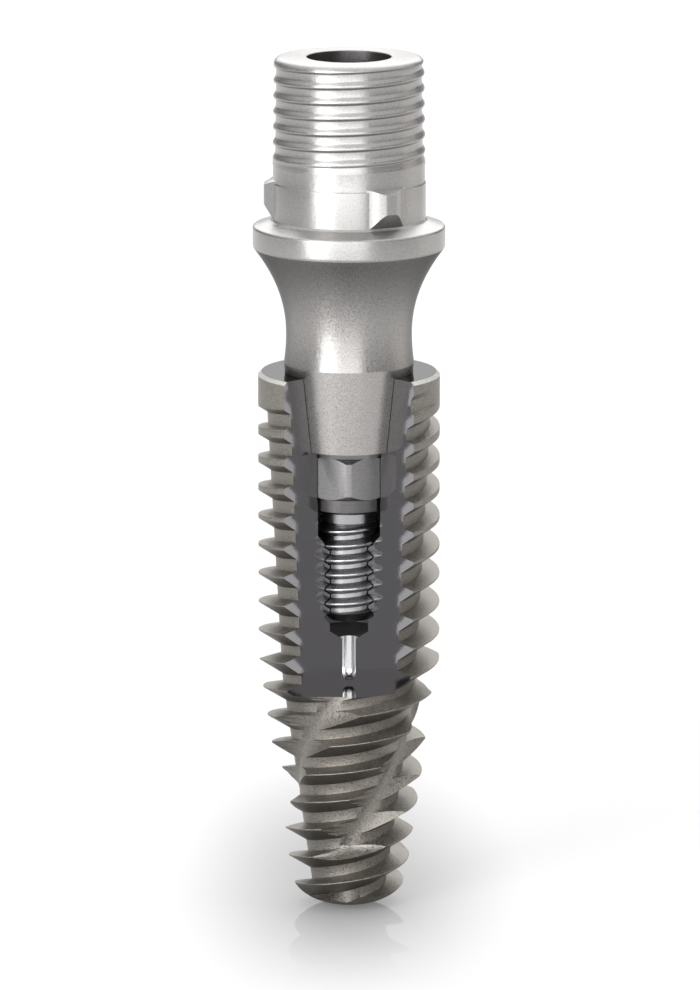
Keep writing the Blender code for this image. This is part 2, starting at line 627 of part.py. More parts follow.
def build_screw(pieces, cutters):
    """The abutment screw: head on its seat, driver socket, shank and M1.6 thread."""
    seat = -SCREW_SEAT_DEPTH + SCREW_SEAT_GAP
    top = seat + SCREW_HEAD_HEIGHT
    thread_heart = SCREW_ROOT_RADIUS - SCREW_END_CHAMFER
    profile = [(0.0, top), (SCREW_HEAD_RADIUS - SCREW_HEAD_BEVEL, top),
               (SCREW_HEAD_RADIUS, top - SCREW_HEAD_BEVEL), (SCREW_HEAD_RADIUS, seat), (SHANK_RADIUS, seat),
               (SHANK_RADIUS, -SCREW_THREAD_TOP_DEPTH),
               (thread_heart, -SCREW_THREAD_TOP_DEPTH - SHANK_RADIUS + thread_heart),
               (0.0, -SCREW_THREAD_TOP_DEPTH - SHANK_RADIUS + thread_heart)]
    screw = turned("abutment_screw", pieces, profile, SCREW_STEPS, TOOL_TWIST)
    screw.data.materials.append(metal("polished_titanium", (0.42, 0.42, 0.43), 0.22))

    thread = threaded("screw_thread", cutters, SCREW_STEPS, SCREW_PITCH, 1, -FREE_BORE_END_DEPTH,
                      -SCREW_THREAD_TOP_DEPTH + SCREW_PITCH, -SCREW_END_DEPTH - SCREW_PITCH,
                      screw_ridge(0.0))
    outside = SCREW_THREAD_RADIUS + SCREW_END_CHAMFER
    rise = outside - thread_heart
    start = -SCREW_THREAD_TOP_DEPTH + SHANK_RADIUS - thread_heart
    boolean(thread, 'INTERSECT', turned("thread_limits", cutters, [
        (0.0, start), (thread_heart, start), (outside, start - rise), (outside, -SCREW_END_DEPTH + rise),
        (thread_heart, -SCREW_END_DEPTH), (0.0, -SCREW_END_DEPTH)], SCREW_STEPS, TOOL_TWIST))
    boolean(screw, 'UNION', thread)
    boolean(screw, 'DIFFERENCE', prism("driver_tool", cutters, hexagon(DRIVER_ACROSS_FLATS),
                                       top - DRIVER_DEPTH, top + OVERSHOOT))
    return screw


def main():
    """Builds the three pieces on one axis."""
    pieces, cutters = start_collections()
    axis = new_object("implant_axis", pieces, None)
    for build in (build_implant, build_base, build_screw):
        build(pieces, cutters).parent = axis


main()
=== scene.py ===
"""Dental implant with its titanium base and abutment screw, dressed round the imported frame.

Sizes of the pieces are in millimetres and are turned into metres where a mesh is made. +Z is
up along the implant's axis, the origin is the middle of the platform, and azimuths are
measured about Z from -Y, anticlockwise from above.
"""

import logging
import math
from dataclasses import dataclass
from enum import Enum
from typing import Callable, Iterable, Sequence

import bmesh
import bpy
from bpy.types import Material, MeshPolygon, Node, NodeSocket, NodeTree, Object
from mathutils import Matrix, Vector


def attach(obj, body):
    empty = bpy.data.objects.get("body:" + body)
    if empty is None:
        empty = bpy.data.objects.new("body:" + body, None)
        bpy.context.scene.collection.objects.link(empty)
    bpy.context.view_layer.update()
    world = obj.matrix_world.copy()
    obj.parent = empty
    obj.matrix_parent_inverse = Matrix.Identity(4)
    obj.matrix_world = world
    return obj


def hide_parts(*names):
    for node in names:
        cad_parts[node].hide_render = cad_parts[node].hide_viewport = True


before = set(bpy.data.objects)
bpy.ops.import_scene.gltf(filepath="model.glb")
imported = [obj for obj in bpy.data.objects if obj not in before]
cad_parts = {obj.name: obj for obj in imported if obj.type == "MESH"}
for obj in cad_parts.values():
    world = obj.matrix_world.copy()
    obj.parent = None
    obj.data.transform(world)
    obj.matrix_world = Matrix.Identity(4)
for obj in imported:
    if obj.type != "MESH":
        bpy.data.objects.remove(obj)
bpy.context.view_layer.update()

MM = 0.001
LOG = logging.getLogger("dental_implant")

# Millimetres that a tool reaches past what it cuts
OVERSHOOT = 0.5
# Millimetres within which a face lies on a plane, and the least cosine between it and the plane
NEAR = 0.002
FACING = 0.99
# Turn of the anisotropic streak that lays it along the axis
STREAK_TURN = 0.25
# Rises of the normal at which the painted shade of undersides is full and where it has gone
PAINTED_SHADE_RISES = (-0.65, 0.05)

Pair = tuple[float, float]
Triple = tuple[float, float, float]
Profile = list[Pair]
# Gives the (rise, radius) corners of a ridge, from the top down, for the height of its middle
Ridge = Callable[[float], Profile]


class Cut(Enum):
    """Ways to combine two closed bodies."""

    ADD = 'UNION'
    REMOVE = 'DIFFERENCE'
    KEEP_COMMON = 'INTERSECT'


def around(azimuth: float, radius: float, height: float) -> Vector:
    """Finds a point from its place about the axis.

    Args:
        azimuth: Angle from -Y in radians, anticlockwise from above.
        radius: Distance from the axis.
        height: Height on the axis.

    Returns:
        The point.
    """
    return Vector((radius * math.sin(azimuth), -radius * math.cos(azimuth), height))


def blend(value: float, low: float, high: float) -> float:
    """Goes smoothly from 0 to 1.

    Args:
        value: The place to read.
        low: Where the rise starts.
        high: Where it ends.

    Returns:
        A share from 0 to 1.
    """
    share = min(max((value - low) / (high - low), 0.0), 1.0)
    return share * share * (3.0 - 2.0 * share)


def along(value: float, *stations: Pair) -> float:
    """Reads a value off the lines between stations; the end lines run on.

    Args:
        value: The place to read.
        *stations: Pairs of place and value, in rising order of place.

    Returns:
        The value at that place.
    """
    pairs = list(zip(stations, stations[1:]))
    reached = [pair for pair in pairs if value <= pair[1][0]] or pairs[-1:]
    (place_a, value_a), (place_b, value_b) = reached[0]
    return value_a + (value_b - value_a) * (value - place_a) / (place_b - place_a)


def softened(points: Profile, radius: float, steps: int = 3) -> Profile:
    """Rounds the inner corners of an open line.

    Args:
        points: The line's corners.
        radius: How far from a corner the rounding starts, at most.
        steps: Pieces of each rounding.

    Returns:
        The line with its corners rounded; the two ends stay.
    """
    line = [points[0]]
    for before, corner, after in zip(points, points[1:], points[2:]):
        corner_v, ends = Vector(corner), []
        for other in (before, after):
            reach = Vector(other) - corner_v
            share = min(radius, 0.45 * reach.length)
            ends.append(corner_v + reach.normalized() * share)
        for i in range(steps + 1):
            t = i / steps
            at = ends[0] * (1 - t) ** 2 + corner_v * 2 * t * (1 - t) + ends[1] * t ** 2
            line.append((at.x, at.y))
    line.append(points[-1])
    return line


def solid(name: str, points: Iterable[Vector], faces: Iterable[Sequence[int]]) -> Object:
    """Makes an object in metres from points in millimetres.

    Args:
        name: The object's name.
        points: Its corners in millimetres.
        faces: Corner numbers of each face, anticlockwise from outside.

    Returns:
        The linked object.
    """
    mesh = bpy.data.meshes.new(name)
    mesh.from_pydata([point * MM for point in points], [], [tuple(face) for face in faces])
    mesh.update()
    piece = bpy.data.objects.new(name, mesh)
    bpy.context.scene.collection.objects.link(piece)
    return piece


def lathe(name: str, profile: Profile, columns: int, twist: float = 0.0) -> Object:
    """Turns a profile about the axis into a closed body.

    Args:
        name: The object's name.
        profile: (radius, height) from the top of the axis down the outside to its foot.
        columns: Facets round the axis.
        twist: Share of a facet by which the facet edges are turned.

    Returns:
        The closed body.
    """
    points = [Vector((0.0, 0.0, profile[0][1])), Vector((0.0, 0.0, profile[-1][1]))]
    rings = profile[1:-1]
    for radius, height in rings:
        points += [around(math.tau * (i + twist) / columns, radius, height) for i in range(columns)]
    faces: list[Sequence[int]] = []
    last = 2 + columns * (len(rings) - 1)
    for i in range(columns):
        j = (i + 1) % columns
        faces.append((0, 2 + i, 2 + j))
        faces.append((1, last + j, last + i))
        for ring in range(len(rings) - 1):
            upper = 2 + columns * ring
            lower = upper + columns
            faces.append((upper + i, lower + i, lower + j, upper + j))
    return solid(name, points, faces)


def prism(name: str, outline: Sequence[Vector], low: float, high: float) -> Object:
    """Extrudes an outline.

    Args:
        name: The object's name.
        outline: Corners, anticlockwise from above.
        low: Height of the floor.
        high: Height of the lid.

    Returns:
        The closed body.
    """
    count = len(outline)
    points = [Vector((at.x, at.y, z)) for z in (low, high) for at in outline]
    faces: list[Sequence[int]] = [list(range(count - 1, -1, -1)), list(range(count, 2 * count))]
    for i in range(count):
        j = (i + 1) % count
        faces.append((i, j, count + j, count + i))
    return solid(name, points, faces)


def hexagon(across_flats: float) -> list[Vector]:
    """Finds the corners of a hexagon with one corner at azimuth 0."""
    corner = across_flats / 2.0 / math.cos(math.pi / 6.0)
    return [around(math.tau * i / 6, corner, 0.0) for i in range(6)]


@dataclass
class Thread:
    """A right-hand thread round the axis, made as a closed body with pointed ends."""

    pitch: float
    starts: int
    phase: float
    columns: int
    ridge: Ridge
    twist: float = 0.0

    def body(self, name: str, top: float, bottom: float) -> Object:
        """Makes the threaded body.

        Args:
            name: The object's name.
            top: Height that the ridges reach at least.
            bottom: Depth that the ridges reach at least.

        Returns:
            The closed body, its two ends pulled to points on the axis.
        """
        first = math.floor((self.phase - top) / self.pitch) - self.starts
        last = math.ceil((self.phase - bottom) / self.pitch) + self.starts
        columns = []
        for column in range(self.columns + 1):
            turn = (column + self.twist) / self.columns
            points = []
            for number in range(first, last + 1):
                middle = self.phase - self.pitch * number + self.pitch * self.starts * turn
                points += [around(math.tau * turn, radius, middle + rise)
                           for rise, radius in self.ridge(middle)]
            columns.append(points)
        rows = len(columns[0])
        shift = rows // (last - first + 1) * self.starts
        points = [point for column in columns[:-1] for point in column]
        grid = [[rows * column + row for row in range(rows)] for column in range(self.columns)]
        closing = list(range(len(points), len(points) + shift))
        points += columns[-1][:shift]
        grid.append(closing + grid[0][:rows - shift])
        faces: list[Sequence[int]] = []
        for left, right in zip(grid, grid[1:]):
            for row in range(rows - 1):
                faces.append((left[row], left[row + 1], right[row + 1], right[row]))
        upper_rim = [column[0] for column in grid] + closing[1:] + [grid[0][0]]
        lower_rim = [column[-1] for column in grid] + grid[0][rows - shift:]
        for rim, up in ((upper_rim, True), (lower_rim, False)):
            hub = len(points)
            points.append(Vector((0.0, 0.0, sum(points[i].z for i in rim) / len(rim))))
            faces += [(hub, a, b) if up else (hub, b, a) for a, b in zip(rim, rim[1:])]
        return solid(name, points, faces)


def combine(target: Object, how: Cut, tool: Object) -> None:
    """Combines a body with a tool, and removes the tool.

    Args:
        target: The body that is changed.
        how: What is done with the tool.
        tool: The other closed body.
    """
    modifier = target.modifiers.new("combine", 'BOOLEAN')
    modifier.operation = how.value
    modifier.solver = 'EXACT'
    modifier.object = tool
    old = target.data
    graph = bpy.context.evaluated_depsgraph_get()
    target.data = bpy.data.meshes.new_from_object(target.evaluated_get(graph))
    target.modifiers.clear()
    bpy.data.meshes.remove(old)
    bpy.data.objects.remove(tool)


def smooth(piece: Object, sharp_above: float) -> None:
    """Shades a machined piece smooth, with its real edges and the borders of its finishes sharp.

    Args:
        piece: The piece, with a finish on each face.
        sharp_above: Angle in degrees from which an edge stays sharp.
    """
    piece.data.shade_smooth()
    piece.data.set_sharp_from_angle(angle=math.radians(sharp_above))
    shading = bmesh.new()
    shading.from_mesh(piece.data)
    for edge in shading.edges:
        edge.smooth = edge.smooth and len({face.material_index for face in edge.link_faces}) < 2
    shading.to_mesh(piece.data)
    shading.free()
    weighted = piece.modifiers.new("even_shading", 'WEIGHTED_NORMAL')
    weighted.keep_sharp = True


class Nodes:
    """Short ways to add and join shader nodes in one tree."""

    def __init__(self, tree: NodeTree) -> None:
        """Keeps the tree that the nodes go into."""
        self.tree = tree

    def add(self, kind: str, values: dict[str | int, object] | None = None,
            **settings: object) -> Node:
        """Adds a node.

        Args:
            kind: The node's type name.
            values: Input values or output sockets to join to them, by input name or number.
            **settings: Properties of the node.

        Returns:
            The new node.
        """
        node = self.tree.nodes.new(kind)
        for name, value in settings.items():
            setattr(node, name, value)
        for name, value in (values or {}).items():
            if isinstance(value, NodeSocket):
                self.tree.links.new(value, node.inputs[name])
            else:
                node.inputs[name].default_value = value
        return node

    def math(self, operation: str, *values: object) -> NodeSocket:
        """Adds a Math node and returns its result."""
        node = self.add('ShaderNodeMath', dict(enumerate(values)), operation=operation)
        return node.outputs[0]

    def ramp(self, value: NodeSocket, low: float, high: float,
             to_low: float = 0.0, to_high: float = 1.0) -> NodeSocket:
        """Maps a range to another, smoothly and clamped, and returns the result."""
        node = self.add('ShaderNodeMapRange', {'Value': value, 'From Min': low, 'From Max': high,
                                               'To Min': to_low, 'To Max': to_high},
                        interpolation_type='SMOOTHSTEP')
        return node.outputs['Result']


def new_group(name: str, inputs: dict[str, float],
              outputs: dict[str, str]) -> tuple[NodeTree, Nodes]:
    """Starts a shader node group.

    Args:
        name: The group's name.
        inputs: Float inputs with their first values.
        outputs: Outputs with their socket types.

    Returns:
        The group and its node helper.
    """
    group = bpy.data.node_groups.new(name, 'ShaderNodeTree')
    for socket, value in inputs.items():
        made = group.interface.new_socket(name=socket, in_out='INPUT', socket_type='NodeSocketFloat')
        made.default_value = value
    for socket, kind in outputs.items():
        group.interface.new_socket(name=socket, in_out='OUTPUT', socket_type=kind)
    return group, Nodes(group)


def grain_group() -> NodeTree:
    """Builds the fine blasted or satin grain that all finishes use.

    Returns:
        A group with a tone that varies about 1 and a height from 0 to 1.
    """
    group, nodes = new_group("metal_grain", {'Grain Size': 4e-5, 'Contrast': 0.3},
                             {'Tone': 'NodeSocketFloat', 'Height': 'NodeSocketFloat'})
    given = nodes.add('NodeGroupInput')
    place = nodes.add('ShaderNodeTexCoord').outputs['Object']
    scale = nodes.math('DIVIDE', 1.0, given.outputs['Grain Size'])
    height = nodes.add('ShaderNodeTexNoise', {'Vector': place, 'Scale': scale, 'Detail': 1.0,
                                              'Roughness': 0.7}).outputs[0]
    tone = nodes.math('MULTIPLY', nodes.math('SUBTRACT', height, 0.5), given.outputs['Contrast'])
    nodes.add('NodeGroupOutput', {'Tone': nodes.math('ADD', tone, 1.0), 'Height': height})
    return group


def turning_group() -> NodeTree:
    """Builds the rings that a turning tool leaves round the axis.

    Returns:
        A group with a tone that varies about 1 and a height from 0 to 1.
    """
    group, nodes = new_group("turning_rings", {'Ring Pitch': 3e-5, 'Contrast': 0.2},
                             {'Tone': 'NodeSocketFloat', 'Height': 'NodeSocketFloat'})
    given = nodes.add('NodeGroupInput')
    place = nodes.add('ShaderNodeTexCoord').outputs['Object']
    height = nodes.add('ShaderNodeSeparateXYZ', {0: place}).outputs['Z']
    rings = nodes.add('ShaderNodeTexNoise', {
        'W': nodes.math('DIVIDE', height, given.outputs['Ring Pitch']), 'Scale': 1.0, 'Detail': 3.0},
        noise_dimensions='1D')
    tone = nodes.math('MULTIPLY', nodes.math('SUBTRACT', rings.outputs[0], 0.5), given.outputs['Contrast'])
    nodes.add('NodeGroupOutput', {'Tone': nodes.math('ADD', tone, 1.0), 'Height': rings.outputs[0]})
    return group


def painted_shade_group() -> NodeTree:
    """Builds the painted shade on the faces that look down, darker the more the normal points down.

    Returns:
        A group with a tone that is 1 on walls and tops and lower on undersides.
    """
    group, nodes = new_group("painted_underside_shade", {'Painted Shade': 0.6}, {'Tone': 'NodeSocketFloat'})
    given = nodes.add('NodeGroupInput')
    facing = nodes.add('ShaderNodeTexCoord').outputs['Normal']
    rise = nodes.add('ShaderNodeSeparateXYZ', {0: facing}).outputs['Z']
    tone = nodes.ramp(rise, *PAINTED_SHADE_RISES, given.outputs['Painted Shade'], 1.0)
    nodes.add('NodeGroupOutput', {'Tone': tone})
    return group


@dataclass(frozen=True)
class Marks:
    """Fine marks on a metal: their size in metres, their contrast and their depth in metres."""

    size: float
    contrast: float
    depth: float


@dataclass(frozen=True)
class Finish:
    """One metal finish: its colour, its roughness, its grain and turning rings, its sheen, and the painted
    shade on its undersides.
    """

    name: str
    colour: Triple
    roughness: float
    grain: Marks
    rings: Marks
    streak: float = 0.0
    painted_shade_below: float = 0.6
    edge_tint: float = 1.0

    def material(self, groups: dict[str, NodeTree]) -> Material:
        """Builds the material.

        Args:
            groups: The shared node groups by name.

        Returns:
            The procedural metal.
        """
        material = bpy.data.materials.new(self.name)
        material.use_nodes = True
        nodes = Nodes(material.node_tree)
        shader = material.node_tree.nodes['Principled BSDF']
        shader.inputs['Metallic'].default_value = 1.0
        shader.inputs['Anisotropic'].default_value = self.streak
        shader.inputs['Anisotropic Rotation'].default_value = STREAK_TURN
        shader.inputs['Specular Tint'].default_value = (self.edge_tint,) * 3 + (1.0,)
        grain = nodes.add('ShaderNodeGroup', {'Grain Size': self.grain.size,
                                              'Contrast': self.grain.contrast}, node_tree=groups["grain"])
        rings = nodes.add('ShaderNodeGroup', {'Ring Pitch': self.rings.size,
                                              'Contrast': self.rings.contrast}, node_tree=groups["rings"])
        # Painted shade: the colour is darkened on faces that look down
        facing = nodes.add('ShaderNodeGroup', {'Painted Shade': self.painted_shade_below}, node_tree=groups["facing"])
        tone = nodes.math('MULTIPLY', grain.outputs['Tone'], rings.outputs['Tone'])
        shaded = nodes.math('MULTIPLY', tone, facing.outputs['Tone'])
        toned = nodes.add('ShaderNodeVectorMath', {0: (*self.colour,), 'Scale': shaded}, operation='SCALE')
        link = material.node_tree.links.new
        link(toned.outputs[0], shader.inputs['Base Color'])
        link(nodes.math('MULTIPLY', tone, self.roughness), shader.inputs['Roughness'])
        fine = nodes.add('ShaderNodeBump', {'Height': grain.outputs['Height'],
                                            'Distance': self.grain.depth})
        both = nodes.add('ShaderNodeBump', {'Height': rings.outputs['Height'], 'Distance': self.rings.depth,
                                            'Normal': fine.outputs['Normal']})
        link(both.outputs['Normal'], shader.inputs['Normal'])
        return material


BLASTED = Finish("blasted_titanium", (0.27, 0.253, 0.230), 0.50, painted_shade_below=0.45,
                 grain=Marks(4e-5, 1.7, 1e-5), rings=Marks(8e-5, 0.08, 2e-6))
TURNED = Finish("turned_titanium", (0.40, 0.386, 0.376), 0.36, streak=0.7, painted_shade_below=0.36, edge_tint=0.5,
                grain=Marks(4e-5, 1.0, 3e-6), rings=Marks(3e-5, 0.12, 6e-7))
# Lighter copy of the turned titanium for the flange, band, lugs and chimney: painted light
TURNED_PAINTED_LIGHT = Finish("turned_titanium_painted_light", (0.445, 0.435, 0.427), 0.35, streak=0.7, painted_shade_below=0.5,
                       grain=Marks(4e-5, 0.6, 3e-6), rings=Marks(3e-5, 0.12, 6e-7))
GROUND = Finish("ground_titanium", (0.42, 0.403, 0.394), 0.31, streak=0.5, painted_shade_below=0.7, edge_tint=0.6,
                grain=Marks(2.5e-5, 0.9, 3e-6), rings=Marks(3e-5, 0.12, 6e-7))
CUT_FACE = Finish("polished_section", (0.29, 0.285, 0.293), 0.07,
                  grain=Marks(4e-5, 0.06, 4e-7), rings=Marks(2e-4, 0.03, 2e-7))
WINDOW_FLOOR = Finish("window_floor", (0.14, 0.133, 0.125), 0.08, edge_tint=0.85,
                      grain=Marks(4e-5, 0.06, 4e-7), rings=Marks(2e-4, 0.03, 2e-7))
PLATFORM = Finish("polished_platform", (0.16, 0.158, 0.155), 0.12, edge_tint=0.52,
                  grain=Marks(4e-5, 0.2, 4e-7), rings=Marks(4e-5, 0.10, 2e-7))
# The platform's bevel; its colour, far lighter than the blasted body, is a painted highlight along the
# platform's edge
BEVEL = Finish("bevel_painted_highlight", (0.70, 0.68, 0.645), 0.40,
               grain=Marks(4e-5, 0.8, 5e-6), rings=Marks(4e-5, 0.10, 1e-6))
BORE_WALL = Finish("bored_titanium", (0.42, 0.41, 0.41), 0.40,
                   grain=Marks(5e-5, 0.15, 1e-6), rings=Marks(5e-5, 0.20, 1e-6))
# The hexagon and the screw channel are milled; their colour, darker than the turned metal, is painted shade
# deep in the seat and the channel
MILLED_PAINTED_SHADE = Finish("milled_titanium_painted_shade", (0.26, 0.255, 0.255), 0.32,
                grain=Marks(4e-5, 0.5, 2e-6), rings=Marks(4e-5, 0.15, 1e-6))
# Much darker copy of the milled titanium on the base's end below the hexagon: painted shade
BASE_END_PAINTED_SHADE = Finish("milled_end_painted_shade", (0.13, 0.126, 0.126), 0.32,
                    grain=Marks(4e-5, 0.5, 2e-6), rings=Marks(4e-5, 0.15, 1e-6))
# The reamed pilot hole; its colour, lighter than the other titanium, is a painted highlight
PILOT_WALL = Finish("reamed_titanium_painted_highlight", (0.72, 0.72, 0.73), 0.16,
                    grain=Marks(5e-5, 0.10, 5e-7), rings=Marks(5e-5, 0.10, 4e-7))
SCREW_METAL = Finish("polished_titanium", (0.42, 0.42, 0.43), 0.28, streak=0.4, painted_shade_below=0.35,
                     grain=Marks(4e-5, 0.15, 1e-6), rings=Marks(3e-5, 0.12, 6e-7))


def paint(piece: Object, choose: Callable[[MeshPolygon], Finish],
          palette: Sequence[Finish], finishes: dict[Finish, Material]) -> None:
    """Gives each face of a piece its finish.

    Args:
        piece: The piece.
        choose: Tells a face's finish.
        palette: The finishes that the piece has.
        finishes: The materials by finish.
    """
    piece.data.materials.clear()
    for finish in palette:
        piece.data.materials.append(finishes[finish])
    for face in piece.data.polygons:
        face.material_index = palette.index(choose(face))


@dataclass
class Seat:
    """The joint that implant and base share: a cone with a hexagon under it."""

    radius: float = 1.51
    slope: float = math.tan(math.radians(8.0))
    depth: float = 1.80
    clearance: float = 0.012
    hex_flats: float = 2.00
    hex_clearance: float = 0.02
    hex_top: float = 1.93
    hex_end: float = 2.95
    hex_gap: float = 0.08
    hex_corner_cut: float = 0.04
    hex_chamfer: float = 0.12


@dataclass
class ScrewThread:
    """The M1.6 thread of the abutment screw and of its tapped hole."""

    radius: float = 0.80
    root: float = 0.62
    pitch: float = 0.35
    crest_flat: float = 0.044
    flank: float = math.radians(30.0)
    phase: float = -4.08
    clearance: float = 0.025
    foot_run: float = 0.004
    rounding: float = 0.02

    def thread(self, offset: float, columns: int, twist: float) -> Thread:
        """Makes the thread, grown outwards by an offset.

        Args:
            offset: 0 for the screw and the clearance for the tapped hole.
            columns: Facets round the axis.
            twist: Share of a facet by which the facet edges are turned.

        Returns:
            The thread.
        """
        crest, root = self.radius + offset, self.root - offset
        half_crest = self.crest_flat / 2.0 + offset * (1.0 - math.sin(self.flank)) / math.cos(self.flank)
        half_foot = half_crest + (crest - root) * math.tan(self.flank)
        corners = [(half_foot + self.foot_run, root), (half_foot, root), (half_crest, crest),
                   (-half_crest, crest), (-half_foot, root), (-half_foot - self.foot_run, root)]
        shape = softened(corners, self.rounding, 2)[1:-1]
        return Thread(self.pitch, 1, self.phase, columns, lambda height: shape, twist)


@dataclass
class Implant:
    """The threaded implant with its window, seat, tapped hole and flutes."""

    seat: Seat
    screw: ScrewThread
    length: float = 12.93
    radius: float = 2.15
    platform_bevel: float = 0.08
    tip_radius: float = 0.10
    tip_rounding: float = 0.75
    tip_steps: int = 16
    tip_plain: Pair = (12.62, 12.85)
    taper_start: float = 6.9
    crest_end: Pair = (12.2, 1.37)
    pitch: float = 0.69
    first_crest: float = -1.065
    groove_floor: float = 0.29
    upper_flank: float = math.radians(9.0)
    lower_flank: float = math.radians(34.0)
    core: tuple[Pair, ...] = ((1.0, 1.93), (7.4, 1.585), (12.1, 0.92))
    run_out: float = 0.42
    run_out_length: float = 0.25
    thinnest_crest: float = 0.03
    foot_run: float = 0.03
    edge_rounding: float = 0.014
    flutes: int = 3
    flute_lead: float = 12.0
    flute_azimuth: float = math.radians(57.0)
    flute_azimuth_depth: float = 9.2
    flute_depths: tuple[float, float, float, float] = (6.2, 6.85, 11.3, 11.9)
    flute_bite: float = 0.04
    flute_exit: float = 0.12
    flute_half_width: float = 1.4
    flute_wall_rise: float = 0.28
    flute_ramp_curve: float = 0.175
    flute_rows: int = 48
    flute_ramp_steps: int = 10
    window_depth: float = 7.57
    window_half_angle: float = math.radians(45.0)
    free_bore: Pair = (1.04, 4.08)
    tap_end: float = 6.05
    drill_end: float = 6.21
    drill_point: float = math.radians(59.0)
    pilot_hole: Pair = (0.225, 7.49)
    pilot_steps: int = 8
    socket_inset: float = 0.02
    inner_reach: float = 1.53
    columns: int = 120
    bore_columns: int = 96
    tap_columns: int = 72
    sharp_above: float = 32.0
    region_margin: float = 0.01
    platform_margin: float = 0.0001
    bevel_facing: float = 0.6

    def crest(self, height: float) -> float:
        """Reads the thread's outer radius at a height."""
        return min(self.radius, along(-height, (self.taper_start, self.radius), self.crest_end))

    def core_radius(self, height: float) -> float:
        """Reads the radius of the thread's root at a height."""
        return along(-height, *self.core)

    def ridge(self, height: float) -> Profile:
        """Shapes the ridge whose middle is at a height; the groove above the first one runs out.

        Args:
            height: Height of the ridge's middle.

        Returns:
            (rise, radius) corners from the top down.
        """
        crest = self.crest(height)
        deep = crest - self.core_radius(height)
        upper, lower = deep * math.tan(self.upper_flank), deep * math.tan(self.lower_flank)
        flat = max(self.pitch - self.groove_floor - upper - lower, self.thinnest_crest)

        def groove(rise: float) -> Pair:
            """Places a corner of the groove, as deep as it has grown there."""
            level = height + rise
            middle = height + math.copysign(self.pitch / 2.0, rise)
            grown = blend(-self.run_out - middle, 0.0, self.run_out_length)
            sunk = grown * (1.0 - blend(-level, *self.tip_plain))
            return rise, self.crest(level) + sunk * (self.core_radius(level) - self.crest(level))

        corners = [groove(flat / 2 + upper + self.foot_run), groove(flat / 2 + upper), (flat / 2, crest),
                   (-flat / 2, crest), groove(-flat / 2 - lower), groove(-flat / 2 - lower - self.foot_run)]
        return softened(corners, self.edge_rounding, 2)[1:-1]

    def limits(self) -> Object:
        """Turns the outline that ends the threaded body: platform, bevel and domed tip.

        Returns:
            The closed tool.
        """
        outside = self.radius + OVERSHOOT
        profile = [(0.0, 0.0), (self.radius - self.platform_bevel, 0.0),
                   (outside, -self.platform_bevel - OVERSHOOT), (outside, -self.taper_start)]
        shoulder = self.crest_end[1]
        for i in range(self.tip_steps + 1):
            turn = math.pi / 2 * i / self.tip_steps
            profile.append((self.tip_radius + (shoulder - self.tip_radius) * math.cos(turn),
                            -self.length + self.tip_rounding * (1.0 - math.sin(turn))))
        profile.append((0.0, -self.length))
        return lathe("limits", profile, self.columns, twist=0.25)

    def bore(self) -> Object:
        """Turns the whole inner outline: seat, free bore, tap drill and pilot hole.

        Returns:
            The closed tool.
        """
        seat, screw = self.seat, self.screw
        mouth = seat.radius + seat.clearance
        socket = seat.hex_flats / 2.0 - self.socket_inset
        start = -seat.hex_end - seat.hex_gap / 2.0
        free, free_end = self.free_bore
        drill = screw.root + screw.clearance
        pilot, pilot_end = self.pilot_hole
        point = self.drill_end + (drill - pilot) / math.tan(self.drill_point)
        profile = [(0.0, OVERSHOOT), (mouth + OVERSHOOT * seat.slope, OVERSHOOT),
                   (mouth - seat.depth * seat.slope, -seat.depth), (socket, -seat.depth), (socket, start),
                   (free, start), (free, -free_end + free - screw.radius), (screw.radius, -free_end),
                   (drill, -free_end), (drill, -self.drill_end), (pilot, -point)]
        for i in range(self.pilot_steps):
            turn = math.pi / 2 * i / self.pilot_steps
            profile.append((pilot * math.cos(turn), -pilot_end + pilot * (1.0 - math.sin(turn))))
        profile.append((0.0, -pilot_end))
        return lathe("bore", profile, self.bore_columns, twist=0.35)

    def tap(self) -> Object:
        """Makes the tapped hole's thread, cut to its length.

        Returns:
            The closed tool.
        """
        thread = self.screw.thread(self.screw.clearance, self.tap_columns, twist=0.1)
        top, pitch = -self.free_bore[1], self.screw.pitch
        tool = thread.body("tap", top + 2.0 * pitch, -self.tap_end - pitch)
        reach, foot = self.screw.radius + OVERSHOOT, self.screw.root
        combine(tool, Cut.KEEP_COMMON, lathe("tap_limits", [
            (0.0, top + pitch), (reach, top + pitch), (reach, -self.tap_end + reach - foot),
            (foot, -self.tap_end), (0.0, -self.tap_end)], self.tap_columns, twist=0.6))
        return tool

    def flute(self, number: int) -> Object:
        """Lofts the tool that cuts one helical flute.

        Args:
            number: Which of the flutes, from 0.

        Returns:
            The closed tool.
        """
        top, full, scoop, end = self.flute_depths
        rows, ramp, points = self.flute_rows, self.flute_ramp_steps, []
        for row in range(rows + 1):
            depth = end + (top - end) * row / rows
            turn = (self.flute_azimuth_depth - depth) / self.flute_lead + number / self.flutes
            azimuth = self.flute_azimuth + math.tau * turn
            floor = self.core_radius(-depth) - self.flute_bite
            sunk = blend(depth, top, full) * (1.0 - blend(depth, scoop, end))
            outside = self.crest(-depth) + self.flute_exit
            floor = outside + (floor - outside) * sunk
            half = self.flute_half_width
            section = [(-half, self.flute_wall_rise * half), (-half, self.radius), (half, self.radius)]
            section += [(half * i / ramp, self.flute_ramp_curve * (half * i / ramp) ** 2)
                        for i in range(ramp, -1, -1)]
            radial, tangent = around(azimuth, 1.0, 0.0), around(azimuth + math.pi / 2, 1.0, 0.0)
            points += [radial * (floor + rise) + tangent * across + Vector((0.0, 0.0, -depth))
                       for across, rise in section]
        count = len(section)
        faces: list[Sequence[int]] = [list(range(count - 1, -1, -1)),
                                      list(range(rows * count, (rows + 1) * count))]
        for row in range(rows):
            for i in range(count):
                j = (i + 1) % count
                a, b = row * count + i, row * count + j
                faces += [(a, b, b + count), (a, b + count, a + count)]
        return solid("flute", points, faces)

